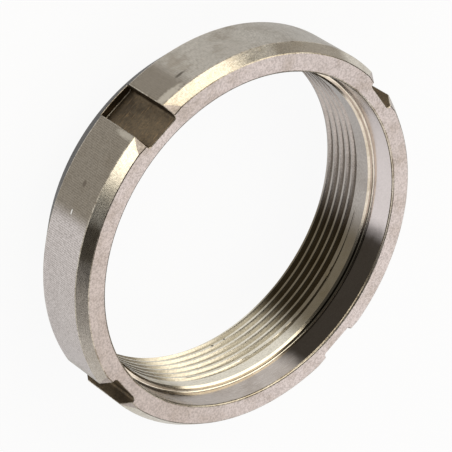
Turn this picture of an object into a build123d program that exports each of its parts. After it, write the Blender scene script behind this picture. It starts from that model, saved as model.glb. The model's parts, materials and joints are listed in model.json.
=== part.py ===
from build123d import *
from math import sqrt
import os

# A slotted round nut, turned from one piece of steel and tightened with a hook spanner.
# It stands on its narrow end with the counterbored face up.
# The origin is the middle of the bottom end and +Z is the axis of the nut. Millimetres.

# Body
outer_diameter = 87.0
height = 21.0

# Walls of the turned section, measured along the radius from the outside inwards
rim_width = 5.75
ledge_width = 1.35
end_face_width = 1.4

# Conical end, from the underside up to the full diameter
cone_height = 7.2

# Bevel round the top face
bevel_width = 1.5
bevel_height = 2.6

# Threaded bore, left plain at the minor diameter of the thread
bore_edge_break = 0.2

# Counterbore in the top face, with the lead-in bevel of the thread below it
recess_depth = 6.3
recess_edge_break = 0.3
recess_corner_radius = 0.5
lead_in = 0.4

# Spanner slots, closed at their lower end
slot_count = 4
slot_width = 8.3
slot_depth = 3.0
slot_length = 15.2
slot_corner_radius = 0.7

# Filed corners where the slots run out into the bevel
filed_reach = 2.4
filed_drop = 0.35

outer_radius = outer_diameter / 2
face_radius = outer_radius - bevel_width
recess_radius = outer_radius - rim_width
bore_radius = recess_radius - ledge_width
end_radius = bore_radius + end_face_width
recess_floor = height - recess_depth

os.makedirs("parts", exist_ok=True)

# Cutter for one filed facet: it lies on the foot of the bevel at the slot, a point along
# the top of the bevel, and a point sunk a little below the corner between them
slot_side = slot_width / 2
filed_end = slot_side + filed_reach
bevel_foot = Vector(sqrt(outer_radius**2 - slot_side**2), slot_side, height - bevel_height)
bevel_top = Vector(sqrt(face_radius**2 - filed_end**2), filed_end, height)
sunk_corner = Vector(sqrt(face_radius**2 - slot_side**2) - filed_drop, slot_side, height)
facet_normal = (bevel_foot - sunk_corner).cross(bevel_top - sunk_corner)
facet_plane = Plane(origin=sunk_corner, x_dir=bevel_foot - sunk_corner, z_dir=facet_normal)

with BuildPart(facet_plane, mode=Mode.PRIVATE) as facet_cutter:
    Box(slot_width, slot_width, slot_depth, align=(Align.CENTER, Align.CENTER, Align.MIN))

with BuildPart() as slotted_ring_nut:
    # Turned section, revolved about the axis
    with BuildSketch(Plane.XZ):
        with BuildLine():
            Polyline(
                (bore_radius + bore_edge_break, 0),
                (end_radius, 0),
                (outer_radius, cone_height),
                (outer_radius, height - bevel_height),
                (face_radius, height),
                (recess_radius + recess_edge_break, height),
                (recess_radius, height - recess_edge_break),
                (recess_radius, recess_floor),
                (bore_radius + lead_in, recess_floor),
                (bore_radius, recess_floor - lead_in),
                (bore_radius, bore_edge_break),
                close=True,
            )
        make_face()
    revolve(axis=Axis.Z)

    # Small radius left by the boring tool in the corner of the counterbore
    recess_corner = slotted_ring_nut.edges().filter_by(GeomType.CIRCLE).filter_by(
        lambda edge: abs(edge.radius - recess_radius) < 0.01 and abs(edge.center().Z - recess_floor) < 0.01
    )
    fillet(recess_corner, recess_corner_radius)

    # Spanner slots, milled down from the top face, with round corners along the floor
    with BuildSketch(Plane.XY.offset(height)):
        with PolarLocations(outer_radius, slot_count):
            Rectangle(2 * slot_depth, slot_width)
        floor_corners = vertices().filter_by(
            lambda corner: corner.center().length < outer_radius
        )
        fillet(floor_corners, slot_corner_radius)
    extrude(amount=-slot_length, mode=Mode.SUBTRACT)

    # Filed facets on the bevel, one on each side of every slot
    with PolarLocations(0, slot_count):
        add(facet_cutter.part, mode=Mode.SUBTRACT)
        add(mirror(facet_cutter.part, about=Plane.XZ), mode=Mode.SUBTRACT)

slotted_ring_nut.part.label = "slotted_ring_nut"
export_step(slotted_ring_nut.part, "parts/slotted_ring_nut.step")
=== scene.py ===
import json
import math
import bmesh
import bpy
from mathutils import Matrix, Vector


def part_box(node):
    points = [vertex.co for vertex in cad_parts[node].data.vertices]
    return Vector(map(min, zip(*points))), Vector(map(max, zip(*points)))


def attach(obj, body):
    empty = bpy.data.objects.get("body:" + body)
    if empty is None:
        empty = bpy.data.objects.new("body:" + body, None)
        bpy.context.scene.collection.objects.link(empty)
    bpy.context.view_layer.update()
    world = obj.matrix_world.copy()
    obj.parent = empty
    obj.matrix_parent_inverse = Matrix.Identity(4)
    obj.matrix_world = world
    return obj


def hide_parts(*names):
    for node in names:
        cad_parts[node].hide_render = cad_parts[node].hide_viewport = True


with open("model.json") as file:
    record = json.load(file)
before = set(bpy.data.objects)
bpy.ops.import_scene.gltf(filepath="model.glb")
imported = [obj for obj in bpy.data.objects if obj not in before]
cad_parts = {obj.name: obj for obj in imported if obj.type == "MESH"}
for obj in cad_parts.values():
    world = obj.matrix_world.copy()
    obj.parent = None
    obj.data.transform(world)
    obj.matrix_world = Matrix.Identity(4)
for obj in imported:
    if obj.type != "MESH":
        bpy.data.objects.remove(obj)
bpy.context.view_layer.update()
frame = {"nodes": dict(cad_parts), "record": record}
print("frame loaded:", sorted(frame["nodes"]))

mm = 0.001
scene = bpy.context.scene


def newObject(name, data):
    thing = bpy.data.objects.new(name, data)
    scene.collection.objects.link(thing)
    return thing


# Node helpers, for geometry and shader trees alike
def put(tree, kind, inputs=None, **settings):
    node = tree.nodes.new(kind)
    for key, value in settings.items():
        setattr(node, key, value)
    for key, value in (inputs or {}).items():
        if isinstance(value, bpy.types.NodeSocket):
            tree.links.new(value, node.inputs[key])
        else:
            node.inputs[key].default_value = value
    return node


def calc(tree, operation, first, second=0.0, third=0.0, clamp=False):
    node = put(tree, "ShaderNodeMath", {0: first, 1: second, 2: third}, operation=operation)
    node.use_clamp = clamp
    return node.outputs[0]


# The nut: what a user would change, in millimetres
nut = {
    "slotCount": 4,
    "slotWidth": 8.3,
    "slotDepth": 3.0,
    "slotLength": 15.2,
    "slotCorner": 0.7,
    "slotCornerSteps": 6,
    "bevelWidth": 1.5,
    "bevelHeight": 2.6,
    "coneHeight": 7.2,
    "endFaceWidth": 1.4,
    "recessDepth": 6.3,
    "recessCorner": 0.5,
    "recessCornerSteps": 9,
    "recessEdge": 0.3,
    "leadIn": 0.4,
    "filedReach": 2.4,
    "filedDrop": 0.35,
    "around": 512,           # vertices round the nut
}
thread = {
    "pitch": 2.0,
    "depth": 1.08,
    "crestFlat": 0.25,       # both flats are parts of half the pitch
    "rootFlat": 0.125,
    "firstRoot": 7.4,        # height of one root at rootAngle
    "rootAngle": 71.4,
    "runOutTop": 11.75,      # the groove fades away below this height
    "runOutLength": 0.6,
    "rowsPerPitch": 16,
    "endBreak": 0.35,        # bevel at the lower end
    "mouthGap": 0.05,        # from the root out to where the end face starts
}

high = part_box("slotted_ring_nut")[1]
mounts = {mount["name"]: mount for mount in frame["record"]["mounts"]}
height = high.z / mm
outerRadius = math.hypot(high.x / mm, nut["slotWidth"] / 2)
boreRadius = mounts["thread"]["dims"]["r_mm"]
recessRadius = mounts["counterbore"]["dims"]["r_mm"]
faceRadius = outerRadius - nut["bevelWidth"]
endRadius = boreRadius + nut["endFaceWidth"]
recessFloor = height - nut["recessDepth"]
bandTop = recessFloor - nut["leadIn"]
threadMouth = boreRadius + thread["depth"] + thread["mouthGap"]


def quarterTurn(steps):
    return [math.radians(90 * step / steps) for step in range(steps + 1)]


def turnedSection():
    # radius and height of each corner, from the top of the bore round to its lower end
    corner = nut["recessCorner"]
    points = [(boreRadius, bandTop), (boreRadius + nut["leadIn"], recessFloor)]
    for turn in quarterTurn(nut["recessCornerSteps"]):
        points.append((
            recessRadius - corner + corner * math.sin(turn),
            recessFloor + corner - corner * math.cos(turn),
        ))
    points += [
        (recessRadius, height - nut["recessEdge"]),
        (recessRadius + nut["recessEdge"], height),
        (faceRadius, height),
        (outerRadius, height - nut["bevelHeight"]),
        (outerRadius, nut["coneHeight"]),
        (endRadius, 0),
        (threadMouth, 0),
    ]
    return points


def sectionMesh():
    mesh = bpy.data.meshes.new("turnedSection")
    points = [(radius * mm, 0, z * mm) for radius, z in turnedSection()]
    mesh.from_pydata(points, [(i, i + 1) for i in range(len(points) - 1)], [])
    return mesh


def newTree(name, inputs):
    # a geometry tree with a Geometry in and out, and the named inputs, each of the kind its value has
    tree = bpy.data.node_groups.new(name, "GeometryNodeTree")
    tree.interface.new_socket("Geometry", in_out="INPUT", socket_type="NodeSocketGeometry")
    tree.interface.new_socket("Geometry", in_out="OUTPUT", socket_type="NodeSocketGeometry")
    for label, value in inputs.items():
        if isinstance(value, bpy.types.Material):
            kind = "NodeSocketMaterial"
        elif isinstance(value, bpy.types.Object):
            kind = "NodeSocketObject"
        elif isinstance(value, int):
            kind = "NodeSocketInt"
        else:
            kind = "NodeSocketFloat"
        tree.interface.new_socket(label, in_out="INPUT", socket_type=kind)
    return tree


def useTree(thing, tree, inputs):
    modifier = thing.modifiers.new(tree.name, "NODES")
    modifier.node_group = tree
    for item in tree.interface.items_tree:
        if item.in_out == "INPUT" and item.name in inputs:
            modifier[item.identifier] = inputs[item.name]
    return modifier


def here(tree):
    return put(tree, "GeometryNodeInputPosition").outputs[0]


def paint(tree, geometry, material, where=True):
    inputs = {"Geometry": geometry, "Selection": where, "Material": material}
    return put(tree, "GeometryNodeSetMaterial", inputs).outputs[0]


def wrapRound(tree, geometry, turn, radius, z):
    angle = calc(tree, "MULTIPLY", turn, 2 * math.pi)
    place = put(tree, "ShaderNodeCombineXYZ", {
        0: calc(tree, "MULTIPLY", radius, calc(tree, "COSINE", angle)),
        1: calc(tree, "MULTIPLY", radius, calc(tree, "SINE", angle)),
        2: z,
    })
    node = put(tree, "GeometryNodeSetPosition", {"Geometry": geometry, "Position": place.outputs[0]})
    return node.outputs["Geometry"]


def gridRound(tree, around, rows):
    # a grid whose X runs once round the nut and whose Y runs along its rows
    grid = put(tree, "GeometryNodeMeshGrid", {
        "Size X": 1.0,
        "Size Y": 1.0,
        "Vertices X": calc(tree, "ADD", around, 1),
        "Vertices Y": rows,
    })
    where = put(tree, "ShaderNodeSeparateXYZ", {0: here(tree)})
    turn = calc(tree, "ADD", where.outputs[0], 0.5)
    share = calc(tree, "ADD", where.outputs[1], 0.5)
    row = calc(tree, "ROUND", calc(tree, "MULTIPLY", share, calc(tree, "SUBTRACT", rows, 1)))
    return grid.outputs["Mesh"], turn, row


def distanceFromAxis(tree):
    flat = put(tree, "ShaderNodeVectorMath", {0: here(tree), 1: (1, 1, 0)}, operation="MULTIPLY")
    return put(tree, "ShaderNodeVectorMath", {0: flat.outputs[0]}, operation="LENGTH").outputs["Value"]


def spunBody(tree, given, fromAxis):
    # the section spun round the axis, with a finish for each kind of surface
    size = put(tree, "GeometryNodeAttributeDomainSize", {0: given["Geometry"]}, component="MESH")
    grid, turn, row = gridRound(tree, given["Around"], size.outputs[0])
    corner = put(tree, "GeometryNodeSampleIndex", data_type="FLOAT_VECTOR", domain="POINT")
    tree.links.new(given["Geometry"], corner.inputs["Geometry"])
    tree.links.new(here(tree), corner.inputs["Value"])
    tree.links.new(row, corner.inputs["Index"])
    cornerPlace = put(tree, "ShaderNodeSeparateXYZ", {0: corner.outputs[0]})
    body = wrapRound(tree, grid, turn, cornerPlace.outputs[0], cornerPlace.outputs[2])

    # the faces still point inwards here, so upwards is the normal's Z turned over
    normal = put(tree, "ShaderNodeSeparateXYZ", {0: put(tree, "GeometryNodeInputNormal").outputs[0]})
    upwards = calc(tree, "MULTIPLY", normal.outputs[2], -1)
    inRecess = calc(tree, "LESS_THAN", fromAxis, given["Recess Reach"])
    zones = (
        ("Bevel Steel", calc(tree, "GREATER_THAN", upwards, 0.3)),
        # faces that look downwards take the cone finish, whose dark colours are painted shade
        ("Shaded Cone Steel", calc(tree, "LESS_THAN", upwards, -0.3)),
        ("Faced Steel", calc(tree, "GREATER_THAN", calc(tree, "ABSOLUTE", upwards), 0.9)),
        ("Bored Steel", calc(tree, "MULTIPLY", inRecess, calc(tree, "GREATER_THAN", upwards, -0.5))),
        ("Ledge Steel", calc(tree, "MULTIPLY", inRecess, calc(tree, "GREATER_THAN", upwards, 0.6))),
    )
    body = paint(tree, body, given["Turned Steel"])
    for label, zone in zones:
        body = paint(tree, body, given[label], zone)
    return body


def threadedBore(tree, given):
    # rows follow the helix, so that every crest and root is a clean edge
    pitch = given["Pitch"]
    pitches = calc(tree, "ADD", calc(tree, "CEIL", calc(tree, "DIVIDE", given["Band Top"], pitch)), 2)
    rows = calc(tree, "MULTIPLY_ADD", pitches, given["Rows per Pitch"], 1)
    grid, turn, row = gridRound(tree, given["Around"], rows)
    alongHelix = calc(tree, "DIVIDE", row, given["Rows per Pitch"])
    base = calc(tree, "WRAP", given["Root Height"], pitch, 0.0)
    rising = calc(tree, "ADD", calc(tree, "SUBTRACT", alongHelix, 2), turn)
    unclipped = calc(tree, "MULTIPLY_ADD", rising, pitch, base)
    z = calc(tree, "MINIMUM", calc(tree, "MAXIMUM", unclipped, 0.0), given["Band Top"])

    # depth of the groove, as a share, from the distance to the nearest root
    phase = calc(tree, "SUBTRACT", calc(tree, "DIVIDE", calc(tree, "SUBTRACT", z, base), pitch), turn)
    fromRoot = calc(tree, "WRAP", phase, 0.5, -0.5)
    halfPitches = calc(tree, "MULTIPLY", calc(tree, "ABSOLUTE", fromRoot), 2)
    flank = calc(tree, "SUBTRACT", halfPitches, given["Root Flat"])
    flankSpan = calc(tree, "SUBTRACT", calc(tree, "SUBTRACT", 1.0, given["Root Flat"]), given["Crest Flat"])
    groove = calc(tree, "SUBTRACT", 1.0, calc(tree, "DIVIDE", flank, flankSpan, clamp=True))

    # run-out: each root lifts out of the metal below the counterbore
    rootZ = calc(tree, "SUBTRACT", z, calc(tree, "MULTIPLY", fromRoot, pitch))
    fadeStart = calc(tree, "SUBTRACT", given["Run-out Top"], given["Run-out Length"])
    pastStart = calc(tree, "SUBTRACT", rootZ, fadeStart)
    lifted = calc(tree, "DIVIDE", pastStart, given["Run-out Length"], clamp=True)
    fadedGroove = calc(tree, "MAXIMUM", calc(tree, "SUBTRACT", groove, lifted), 0.0)

    cutRadius = calc(tree, "MULTIPLY_ADD", fadedGroove, given["Thread Depth"], given["Bore Radius"])
    bevelRadius = calc(tree, "SUBTRACT", calc(tree, "ADD", given["Bore Radius"], given["End Break"]), z)
    innerRadius = calc(tree, "MAXIMUM", cutRadius, bevelRadius)
    isMouth = calc(tree, "LESS_THAN", row, 0.5)
    widening = calc(tree, "SUBTRACT", given["Mouth Radius"], innerRadius)
    radius = calc(tree, "MULTIPLY_ADD", isMouth, widening, innerRadius)
    return wrapRound(tree, grid, turn, radius, z)


def slotsCut(tree, given, blank):
    # spanner slots, then their filed corners: one cutter each, repeated round the rim
    ring = put(tree, "GeometryNodeMeshCircle", {
        "Vertices": given["Slot Count"],
        "Radius": given["Outer Radius"],
    })
    outwards = put(tree, "FunctionNodeAlignRotationToVector", {"Vector": here(tree)}, axis="X")
    shaped = blank
    for label in ("Slot Cutter", "Corner Cutter"):
        cutter = put(tree, "GeometryNodeObjectInfo", {0: given[label]})
        cutters = put(tree, "GeometryNodeInstanceOnPoints", {
            "Points": ring.outputs[0],
            "Instance": cutter.outputs["Geometry"],
            "Rotation": outwards.outputs[0],
        })
        solidCutters = put(tree, "GeometryNodeRealizeInstances", {0: cutters.outputs[0]})
        cutAway = put(tree, "GeometryNodeMeshBoolean", operation="DIFFERENCE", solver="MANIFOLD")
        tree.links.new(shaped, cutAway.inputs["Mesh 1"])
        tree.links.new(solidCutters.outputs[0], cutAway.inputs["Mesh 2"])
        shaped = cutAway.outputs[0]
    return shaped


def turnedNutTree(inputs):
    tree = newTree("turnedNut", inputs)
    given = put(tree, "NodeGroupInput").outputs
    fromAxis = distanceFromAxis(tree)
    joined = put(tree, "GeometryNodeJoinGeometry")
    tree.links.new(threadedBore(tree, given), joined.inputs[0])
    tree.links.new(spunBody(tree, given, fromAxis), joined.inputs[0])
    welded = put(tree, "GeometryNodeMergeByDistance", {"Geometry": joined.outputs[0], "Distance": 1e-6})
    blank = put(tree, "GeometryNodeFlipFaces", {0: welded.outputs[0]})
    shaped = slotsCut(tree, given, blank.outputs[0])

    realised = put(tree, "GeometryNodeRealizeInstances", {0: shaped})
    level = put(tree, "ShaderNodeSeparateXYZ", {0: here(tree)}).outputs[2]
    inBore = calc(
        tree, "MULTIPLY",
        calc(tree, "LESS_THAN", fromAxis, given["Mouth Radius"]),
        calc(tree, "LESS_THAN", level, given["Band Top"]),
    )
    finished = paint(tree, realised.outputs[0], given["Cut Thread"], inBore)
    tree.links.new(finished, put(tree, "NodeGroupOutput").inputs[0])
    return tree


# How far the cutters reach, in millimetres: each runs a little past the metal
cutterReach = {
    "above": 2.0,
    "facetAlong": (-2.5, 4.2),
    "facetAcross": 3.2,
}


def prism(points, bottom, top):
    # a closed prism over an outline in the XY plane
    count = len(points)
    verts = [(x, y, bottom) for x, y in points] + [(x, y, top) for x, y in points]
    faces = [tuple(reversed(range(count))), tuple(range(count, 2 * count))]
    for i in range(count):
        j = (i + 1) % count
        faces.append((i, j, count + j, count + i))
    return verts, faces


def cutterObject(name, verts, faces, material):
    mesh = bpy.data.meshes.new(name)
    mesh.from_pydata([tuple(c * mm for c in v) for v in verts], [], faces)
    mesh.materials.append(material)
    return newObject(name, mesh)


def makeSlotCutter(material):
    # X points outwards and 0 is the outside of the nut
    half = nut["slotWidth"] / 2
    corner = nut["slotCorner"]
    floor = -nut["slotDepth"]
    turns = quarterTurn(nut["slotCornerSteps"])
    outline = [(nut["slotDepth"], half)]
    for side, sideTurns in ((1, turns), (-1, turns[::-1])):
        for turn in sideTurns:
            outline.append((
                floor + corner - corner * math.sin(turn),
                side * (half - corner + corner * math.cos(turn)),
            ))
    outline.append((nut["slotDepth"], -half))
    verts, faces = prism(outline, height - nut["slotLength"], height + cutterReach["above"])
    return cutterObject("slotCutter", verts, faces, material)


def makeCornerCutter(material):
    # one filed facet on each side of a slot, through three points of the section
    half = nut["slotWidth"] / 2
    filedEnd = half + nut["filedReach"]
    foot = Vector((math.sqrt(outerRadius**2 - half**2) - outerRadius, half, height - nut["bevelHeight"]))
    top = Vector((math.sqrt(faceRadius**2 - filedEnd**2) - outerRadius, filedEnd, height))
    sunk = Vector((math.sqrt(faceRadius**2 - half**2) - outerRadius - nut["filedDrop"], half, height))
    along = (foot - sunk).normalized()
    out = (foot - sunk).cross(top - sunk).normalized()
    across = out.cross(along)
    start, end = cutterReach["facetAlong"]
    side = cutterReach["facetAcross"]
    block = [(start, -side), (end, -side), (end, side), (start, side)]
    blockVerts, blockFaces = prism(block, 0, nut["slotDepth"])
    verts, faces = [], []
    for mirror in (1, -1):
        first = len(verts)
        for x, y, z in blockVerts:
            point = sunk + along * x + across * y + out * z
            verts.append((point.x, mirror * point.y, point.z))
        for face in blockFaces:
            shifted = [first + i for i in face]
            faces.append(shifted[::mirror])
    return cutterObject("cornerCutter", verts, faces, material)


# Steel: colours are linear, lengths in millimetres
finishes = {
    "turnedSteel": {
        "clean": (0.57, 0.53, 0.465), "stained": (0.42, 0.375, 0.31), "bright": (0.66, 0.62, 0.57),
        "rim": 0.8, "rough": 0.32, "stretch": 0.75,
        "marks": 5.0, "depth": 0.55, "weave": 0.8, "speckle": 0.5,
    },
    "bevelSteel": {
        "clean": (0.66, 0.61, 0.52), "stained": (0.52, 0.46, 0.36), "bright": (0.75, 0.71, 0.63),
        "rim": 0.9, "rough": 0.26, "stretch": 0.3,
        "marks": 5.0, "depth": 0.3, "weave": 0.1, "speckle": 0.4,
    },
    # the cone faces downwards, and its dark colours are painted shade
    "shadedConeSteel": {
        "clean": (0.3, 0.28, 0.26), "stained": (0.22, 0.2, 0.18), "bright": (0.38, 0.36, 0.34),
        "rim": 0.35, "rough": 0.36, "stretch": 0.5,
        "marks": 5.0, "depth": 0.4, "weave": 0.0, "speckle": 0.3,
    },
    "boredSteel": {
        "clean": (0.5, 0.45, 0.41), "stained": (0.42, 0.37, 0.33), "bright": (0.66, 0.61, 0.57),
        "rim": 0.7, "rough": 0.2, "stretch": 0.6,
        "marks": 5.0, "depth": 0.2, "weave": 0.0, "speckle": 0.1,
    },
    "ledgeSteel": {
        "clean": (0.66, 0.6, 0.5), "stained": (0.5, 0.44, 0.34), "bright": (0.76, 0.71, 0.62),
        "rim": 0.9, "rough": 0.16, "stretch": 0.2,
        "marks": 5.0, "depth": 0.15, "weave": 0.0, "speckle": 0.2,
    },
    "facedSteel": {
        "clean": (0.62, 0.56, 0.535), "stained": (0.53, 0.465, 0.42), "bright": (0.68, 0.63, 0.61),
        "rim": 0.9, "rough": 0.42, "stretch": 0.3,
        "marks": 3.5, "depth": 0.35, "weave": 0.1, "speckle": 0.5,
    },
    "cutThread": {
        "clean": (0.6, 0.55, 0.46), "stained": (0.4, 0.35, 0.25), "bright": (0.66, 0.63, 0.56),
        "rim": 0.8, "rough": 0.24, "stretch": 0.4,
        "marks": 6.0, "depth": 0.25, "weave": 0.0, "speckle": 0.3,
    },
    "milledSlot": {
        "clean": (0.17, 0.13, 0.085), "stained": (0.075, 0.057, 0.04), "bright": (0.38, 0.26, 0.14),
        "rim": 0.3, "rough": 0.5, "stretch": 0.2,
        "marks": 4.0, "depth": 0.6, "weave": 0.0, "speckle": 0.8,
    },
    "burrSteel": {
        "clean": (0.62, 0.56, 0.46), "stained": (0.22, 0.17, 0.11), "bright": (0.85, 0.82, 0.76),
        "rim": 0.9, "rough": 0.3, "stretch": 0.0,
        "marks": 1.5, "depth": 0.3, "weave": 0.0, "speckle": 0.8,
    },
}
# Lighter and darker zones at fixed places round the nut, painted in place of reflections that
# the pale floor cannot give. Emptied, it leaves an even finish. Each zone is a colour, the
# angle of its middle, its half width and its soft edge in degrees, and its strength.
paintedTones = {
    "turnedSteel": (
        ((0.74, 0.68, 0.665), -33, 23, 5, 0.8),
        ((0.225, 0.19, 0.145), -81, 21, 6, 0.8),
    ),
    "bevelSteel": (
        ((0.17, 0.14, 0.1), -53, 4, 4, 0.8),
        ((0.24, 0.2, 0.15), -146, 11, 5, 0.75),
        ((0.5, 0.45, 0.4), -25, 20, 5, 0.7),
        ((0.95, 0.9, 0.79), -72, 11, 4, 0.85),
    ),
    "shadedConeSteel": (
        ((0.075, 0.064, 0.052), -81, 27, 14, 0.92),
    ),
    "boredSteel": (
        ((0.74, 0.675, 0.665), 158, 34, 4, 0.85),
        ((0.026, 0.02, 0.014), 101, 22, 9, 0.97),
    ),
    "ledgeSteel": (
        ((0.88, 0.83, 0.7), 62, 22, 12, 0.8),
        ((0.3, 0.26, 0.19), 103, 12, 10, 0.8),
    ),
    "facedSteel": (
        ((0.5, 0.43, 0.38), -10, 30, 40, 0.5),
    ),
    "cutThread": (
        ((0.86, 0.81, 0.69), 58, 20, 12, 0.8),
        ((0.4, 0.37, 0.355), 155, 30, 12, 0.8),
        ((0.1, 0.078, 0.045), 106, 14, 16, 0.9),
    ),
}
# small marks: colour, angle and height of the middle, size round the rim and along the axis
marks = (
    ("turnedSteel", (0.46, 0.42, 0.35), -83.5, 16.4, 1.0, 4.0),
    ("turnedSteel", (0.54, 0.49, 0.41), -98.5, 17.4, 5.0, 1.5),
    ("turnedSteel", (0.09, 0.075, 0.06), -105.6, 14.8, 1.7, 0.5),
    ("turnedSteel", (0.14, 0.115, 0.09), -67.0, 13.2, 1.0, 0.7),
    ("turnedSteel", (0.95, 0.94, 0.90), -58.6, 12.7, 0.8, 0.22),
    ("cutThread", (0.03, 0.022, 0.015), 60.4, 2.3, 0.45, 0.45),
    ("cutThread", (0.03, 0.022, 0.015), 65.6, 2.3, 0.4, 0.4),
)


# What all the finishes share: rates per millimetre, and strengths
pattern = {
    "grime": (0.10, 0.085, 0.065),
    "streakRate": 3.0,       # along the rim, per radian
    "weaveRate": 7.5,
    "weaveSlant": 40.0,
    "weaveTone": 0.55,
    "stainRate": 0.16,
    "speckRate": 1.6,
    "grainRate": 2.6,
    "grainTone": 0.7,
    "zoneWander": 0.10,      # unevenness of a zone's edge, in radians
    "markWander": 1.2,
    "markTone": 0.85,
    "streakRough": 0.16,
    "stainRough": 0.12,
    "relief": 0.00002,       # metres
}


def rgba(colour):
    return colour if isinstance(colour, bpy.types.NodeSocket) else (*colour, 1)


def blend(tree, factor, first, second):
    mix = put(tree, "ShaderNodeMix", {0: factor, 6: rgba(first), 7: rgba(second)}, data_type="RGBA")
    return mix.outputs[2]


def span(tree, value, low, high, start=0.0, end=1.0):
    inputs = {0: value, 1: low, 2: high, 3: start, 4: end}
    return put(tree, "ShaderNodeMapRange", inputs, interpolation_type="SMOOTHSTEP").outputs[0]


def noise(tree, vector, scale, detail=3.0, rough=0.5):
    inputs = {"Vector": vector, "Scale": scale, "Detail": detail, "Roughness": rough}
    return put(tree, "ShaderNodeTexNoise", inputs).outputs[0]


def weaveAcross(tree, turn, level):
    # a fine weave, where the tool chattered across its own marks
    waves = []
    for slant in (pattern["weaveSlant"], -pattern["weaveSlant"]):
        slanted = calc(tree, "MULTIPLY_ADD", turn, slant, level)
        waves.append(calc(tree, "SINE", calc(tree, "MULTIPLY", slanted, pattern["weaveRate"])))
    return calc(tree, "MULTIPLY", waves[0], waves[1])


def paintTones(tree, name, colour, turn, stain):
    for tint, middle, reach, edge, strength in paintedTones.get(name, ()):
        fromMiddle = calc(tree, "WRAP", calc(tree, "SUBTRACT", turn, math.radians(middle)), math.pi, -math.pi)
        even = calc(tree, "SUBTRACT", calc(tree, "ABSOLUTE", fromMiddle), pattern["zoneWander"] / 2)
        away = calc(tree, "MULTIPLY_ADD", stain, pattern["zoneWander"], even)
        zone = span(tree, away, math.radians(reach), math.radians(reach + edge), strength, 0.0)
        colour = blend(tree, zone, colour, tint)
    return colour


def paintMarks(tree, name, colour, turn, radius, level, speck):
    for owner, tint, angle, markLevel, wide, tall in marks:
        if owner == name:
            aroundRim = calc(tree, "MULTIPLY", calc(tree, "SUBTRACT", turn, math.radians(angle)), radius)
            aside = calc(tree, "DIVIDE", aroundRim, wide)
            above = calc(tree, "DIVIDE", calc(tree, "SUBTRACT", level, markLevel), tall)
            even = calc(tree, "MULTIPLY_ADD", aside, aside, calc(tree, "MULTIPLY", above, above))
            away = calc(tree, "MULTIPLY_ADD", speck, pattern["markWander"], even)
            colour = blend(tree, span(tree, away, 0.7, 1.5, pattern["markTone"], 0.0), colour, tint)
    return colour


def steelMaterial(name, finish):
    material = bpy.data.materials.new(name)
    material.use_nodes = True
    tree = material.node_tree
    shader = tree.nodes["Principled BSDF"]
    shader.inputs["Metallic"].default_value = 1.0
    shader.inputs["Anisotropic"].default_value = finish["stretch"]
    shader.inputs["Specular Tint"].default_value = (finish["rim"], finish["rim"], finish["rim"], 1)
    place = put(tree, "ShaderNodeTexCoord").outputs["Object"]
    millimetres = put(tree, "ShaderNodeVectorMath", {0: place, 3: 1 / mm}, operation="SCALE").outputs[0]
    x, y, level = put(tree, "ShaderNodeSeparateXYZ", {0: millimetres}).outputs
    radius = calc(tree, "SQRT", calc(tree, "MULTIPLY_ADD", x, x, calc(tree, "MULTIPLY", y, y)))
    turn = calc(tree, "ARCTAN2", y, x)

    # turning marks run round the axis, and stains, specks and grain lie over them
    alongMarks = calc(tree, "MULTIPLY", turn, pattern["streakRate"])
    streakPlace = put(tree, "ShaderNodeCombineXYZ", {0: alongMarks, 1: radius, 2: level}).outputs[0]
    streak = noise(tree, streakPlace, finish["marks"], 4.0, 0.6)
    weave = calc(tree, "MULTIPLY", weaveAcross(tree, turn, level), finish["weave"])
    stain = noise(tree, millimetres, pattern["stainRate"], 6.0, 0.68)
    speck = noise(tree, millimetres, pattern["speckRate"], 3.0, 0.6)
    grain = noise(tree, millimetres, pattern["grainRate"], 2.0, 0.5)

    colour = blend(tree, span(tree, stain, 0.44, 0.68), finish["clean"], finish["stained"])
    colour = blend(tree, span(tree, streak, 0.5, 0.8), colour, finish["bright"])
    colour = blend(tree, span(tree, speck, 0.55, 0.72, 0.0, finish["speckle"]), colour, finish["stained"])
    colour = paintTones(tree, name, colour, turn, stain)
    grainTone = finish["speckle"] * pattern["grainTone"]
    colour = blend(tree, span(tree, weave, 0.0, 0.7, 0.0, pattern["weaveTone"]), colour, pattern["grime"])
    colour = blend(tree, span(tree, grain, 0.35, 0.7, 0.0, grainTone), colour, pattern["grime"])
    colour = paintMarks(tree, name, colour, turn, radius, level, speck)
    tree.links.new(colour, shader.inputs["Base Color"])

    evenRough = finish["rough"] - pattern["streakRough"] / 2 - pattern["stainRough"] / 2
    streaked = calc(tree, "MULTIPLY_ADD", streak, pattern["streakRough"], evenRough)
    rough = calc(tree, "MULTIPLY_ADD", stain, pattern["stainRough"], streaked)
    tree.links.new(rough, shader.inputs["Roughness"])
    relief = calc(tree, "ADD", calc(tree, "ADD", streak, weave), calc(tree, "MULTIPLY", speck, 0.4))
    bump = put(tree, "ShaderNodeBump", {
        "Height": relief,
        "Strength": finish["depth"],
        "Distance": pattern["relief"],
    })
    tree.links.new(bump.outputs[0], shader.inputs["Normal"])
    # the sheen stretches across the turning marks
    tangent = put(tree, "ShaderNodeTangent", direction_type="RADIAL", axis="Z")
    tree.links.new(tangent.outputs[0], shader.inputs["Tangent"])
    return material


steels = {name: steelMaterial(name, finish) for name, finish in finishes.items()}
print("finishes made:", sorted(steels))


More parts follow.
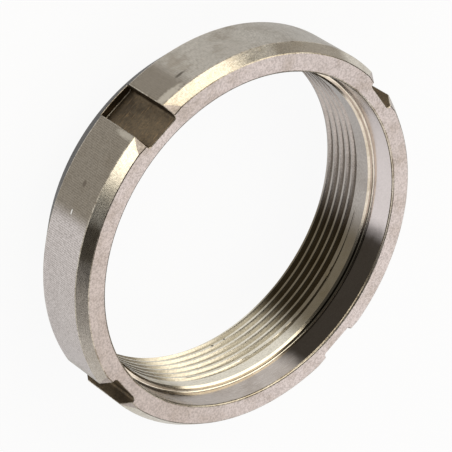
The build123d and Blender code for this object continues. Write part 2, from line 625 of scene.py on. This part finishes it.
def turnNut():
    slotCutter = makeSlotCutter(steels["milledSlot"])
    cornerCutter = makeCornerCutter(steels["facedSteel"])
    inputs = {
        "Around": nut["around"],
        "Outer Radius": outerRadius * mm,
        "Bore Radius": boreRadius * mm,
        "Mouth Radius": threadMouth * mm,
        "Band Top": bandTop * mm,
        "Recess Reach": (recessRadius + nut["recessEdge"] / 3) * mm,
        "Pitch": thread["pitch"] * mm,
        "Thread Depth": thread["depth"] * mm,
        "Crest Flat": thread["crestFlat"],
        "Root Flat": thread["rootFlat"],
        "Root Height": (thread["firstRoot"] - thread["pitch"] * thread["rootAngle"] / 360) * mm,
        "Run-out Top": thread["runOutTop"] * mm,
        "Run-out Length": thread["runOutLength"] * mm,
        "Rows per Pitch": thread["rowsPerPitch"],
        "End Break": thread["endBreak"] * mm,
        "Slot Count": nut["slotCount"],
        "Slot Cutter": slotCutter,
        "Corner Cutter": cornerCutter,
        "Turned Steel": steels["turnedSteel"],
        "Bevel Steel": steels["bevelSteel"],
        "Shaded Cone Steel": steels["shadedConeSteel"],
        "Bored Steel": steels["boredSteel"],
        "Ledge Steel": steels["ledgeSteel"],
        "Faced Steel": steels["facedSteel"],
        "Cut Thread": steels["cutThread"],
    }
    blank = newObject("turnedBlank", sectionMesh())
    useTree(blank, turnedNutTree(inputs), inputs)
    bpy.context.view_layer.update()
    mesh = bpy.data.meshes.new_from_object(blank.evaluated_get(bpy.context.evaluated_depsgraph_get()))
    mesh.name = "finishedNut"
    for helper in (blank, slotCutter, cornerCutter):
        bpy.data.objects.remove(helper)
    return newObject("finishedNut", mesh)


# The sharp edges outside the thread are worn a little: millimetres and degrees
wear = {
    "width": 0.13,
    "fromBore": 1.3,
    "sharperThan": 22,
    "smoothBelow": 12.5,
}


def wearEdges(thing):
    mesh = thing.data
    form = bmesh.new()
    form.from_mesh(mesh)
    weight = form.edges.layers.float.new("bevel_weight_edge")
    threadReach = (boreRadius + wear["fromBore"]) * mm
    for edge in form.edges:
        outside = all(math.hypot(vert.co.x, vert.co.y) > threadReach for vert in edge.verts)
        if outside and edge.calc_face_angle(0) > math.radians(wear["sharperThan"]):
            edge[weight] = 1
    form.to_mesh(mesh)
    form.free()
    rounding = thing.modifiers.new("wornEdges", "BEVEL")
    rounding.limit_method = "WEIGHT"
    rounding.width = wear["width"] * mm
    rounding.segments = 1
    rounding.use_clamp_overlap = False
    rounding.miter_outer = "MITER_ARC"
    mesh.materials.append(steels["burrSteel"])
    rounding.material = len(mesh.materials) - 1
    bpy.context.view_layer.update()
    worn = bpy.data.meshes.new_from_object(thing.evaluated_get(bpy.context.evaluated_depsgraph_get()))
    thing.modifiers.clear()
    thing.data = worn
    worn.shade_smooth()
    worn.set_sharp_from_angle(angle=math.radians(wear["smoothBelow"]))


finishedNut = turnNut()
wearEdges(finishedNut)
print("nut turned:", len(finishedNut.data.polygons), "faces,", len(finishedNut.data.materials), "finishes")


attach(finishedNut, "root")
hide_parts("slotted_ring_nut")


# Camera
view = {
    "azimuth": -78.53,
    "elevation": 43.07,
    "roll": 123.25,
    "distance": 0.62915,
    "aim": (0.00024, 0.00074, 0.01123),
    "lens": 238.94,
    "sensor": 36,
}


def placeCamera():
    azimuth = math.radians(view["azimuth"])
    elevation = math.radians(view["elevation"])
    back = Vector((
        math.cos(azimuth) * math.cos(elevation),
        math.sin(azimuth) * math.cos(elevation),
        math.sin(elevation),
    ))
    camera = newObject("camera", bpy.data.cameras.new("camera"))
    camera.data.lens = view["lens"]
    camera.data.sensor_width = view["sensor"]
    camera.data.clip_start = 0.05
    camera.location = Vector(view["aim"]) + back * view["distance"]
    straight = back.to_track_quat("Z", "Y").to_matrix()
    camera.rotation_euler = (straight @ Matrix.Rotation(math.radians(view["roll"]), 3, "Z")).to_euler()
    scene.camera = camera


placeCamera()

# Floor and light
studio = {
    "floorReach": 6,
    "floorColour": (0.85, 0.85, 0.85),
    "floorGlow": 0.93,       # how far the floor is lifted to white where it is seen
    "worldColour": (0.10, 0.098, 0.095),
}


def makeFloor():
    reach = studio["floorReach"]
    corners = [(-reach, -reach, 0), (reach, -reach, 0), (reach, reach, 0), (-reach, reach, 0)]
    mesh = bpy.data.meshes.new("floor")
    mesh.from_pydata(corners, [], [(0, 1, 2, 3)])
    floor = newObject("floor", mesh)
    material = bpy.data.materials.new("paleFloor")
    material.use_nodes = True
    tree = material.node_tree
    tree.nodes.clear()
    path = put(tree, "ShaderNodeLightPath").outputs
    seen = calc(tree, "MAXIMUM", path["Is Camera Ray"], path["Is Glossy Ray"])
    seen = calc(tree, "MAXIMUM", seen, path["Is Transmission Ray"])
    plain = put(tree, "ShaderNodeBsdfDiffuse", {"Color": (*studio["floorColour"], 1)})
    white = put(tree, "ShaderNodeEmission", {"Strength": 1.0})
    mixed = put(tree, "ShaderNodeMixShader", {
        0: calc(tree, "MULTIPLY", seen, studio["floorGlow"]),
        1: plain.outputs[0],
        2: white.outputs[0],
    })
    below = put(tree, "ShaderNodeMixShader", {
        0: put(tree, "ShaderNodeNewGeometry").outputs["Backfacing"],
        1: mixed.outputs[0],
        2: put(tree, "ShaderNodeBsdfTransparent").outputs[0],
    })
    put(tree, "ShaderNodeOutputMaterial", {"Surface": below.outputs[0]})
    mesh.materials.append(material)


def makeWorld():
    world = bpy.data.worlds.new("studio")
    world.use_nodes = True
    world.node_tree.nodes["Background"].inputs[0].default_value = (*studio["worldColour"], 1)
    scene.world = world


# azimuth is counted from the camera's side, size in metres
boxDistance = 1.2
softboxes = {
    "leftBox": {
        "azimuth": -82, "elevation": 36, "size": (1.5, 1.1),
        "power": 10, "colour": (1, 0.93, 0.80),
    },
    "lowBox": {
        "azimuth": -30, "elevation": 14, "size": (2.1, 0.42),
        "power": 5.8, "colour": (1, 0.93, 0.80),
    },
    "rightBox": {
        "azimuth": 98, "elevation": 34, "size": (1.5, 1.1),
        "power": 6, "colour": (1, 0.96, 0.95),
    },
    "backBox": {
        "azimuth": 180, "elevation": 45, "size": (1.1, 0.9),
        "power": 4.5, "colour": (1, 0.96, 0.95),
    },
}


def makeSoftbox(name, box):
    around = math.radians(box["azimuth"] + view["azimuth"])
    up = math.radians(box["elevation"])
    towards = Vector((math.cos(around) * math.cos(up), math.sin(around) * math.cos(up), math.sin(up)))
    lamp = bpy.data.lights.new(name, "AREA")
    lamp.shape = "RECTANGLE"
    lamp.size, lamp.size_y = box["size"]
    lamp.energy = box["power"]
    lamp.color = box["colour"]
    thing = newObject(name, lamp)
    thing.location = towards * boxDistance
    thing.rotation_euler = towards.to_track_quat("Z", "Y").to_euler()


makeFloor()
makeWorld()
for name, box in softboxes.items():
    makeSoftbox(name, box)
scene.view_settings.view_transform = "Standard"
print("camera, floor and", len(softboxes), "softboxes placed")

print("scene ready")
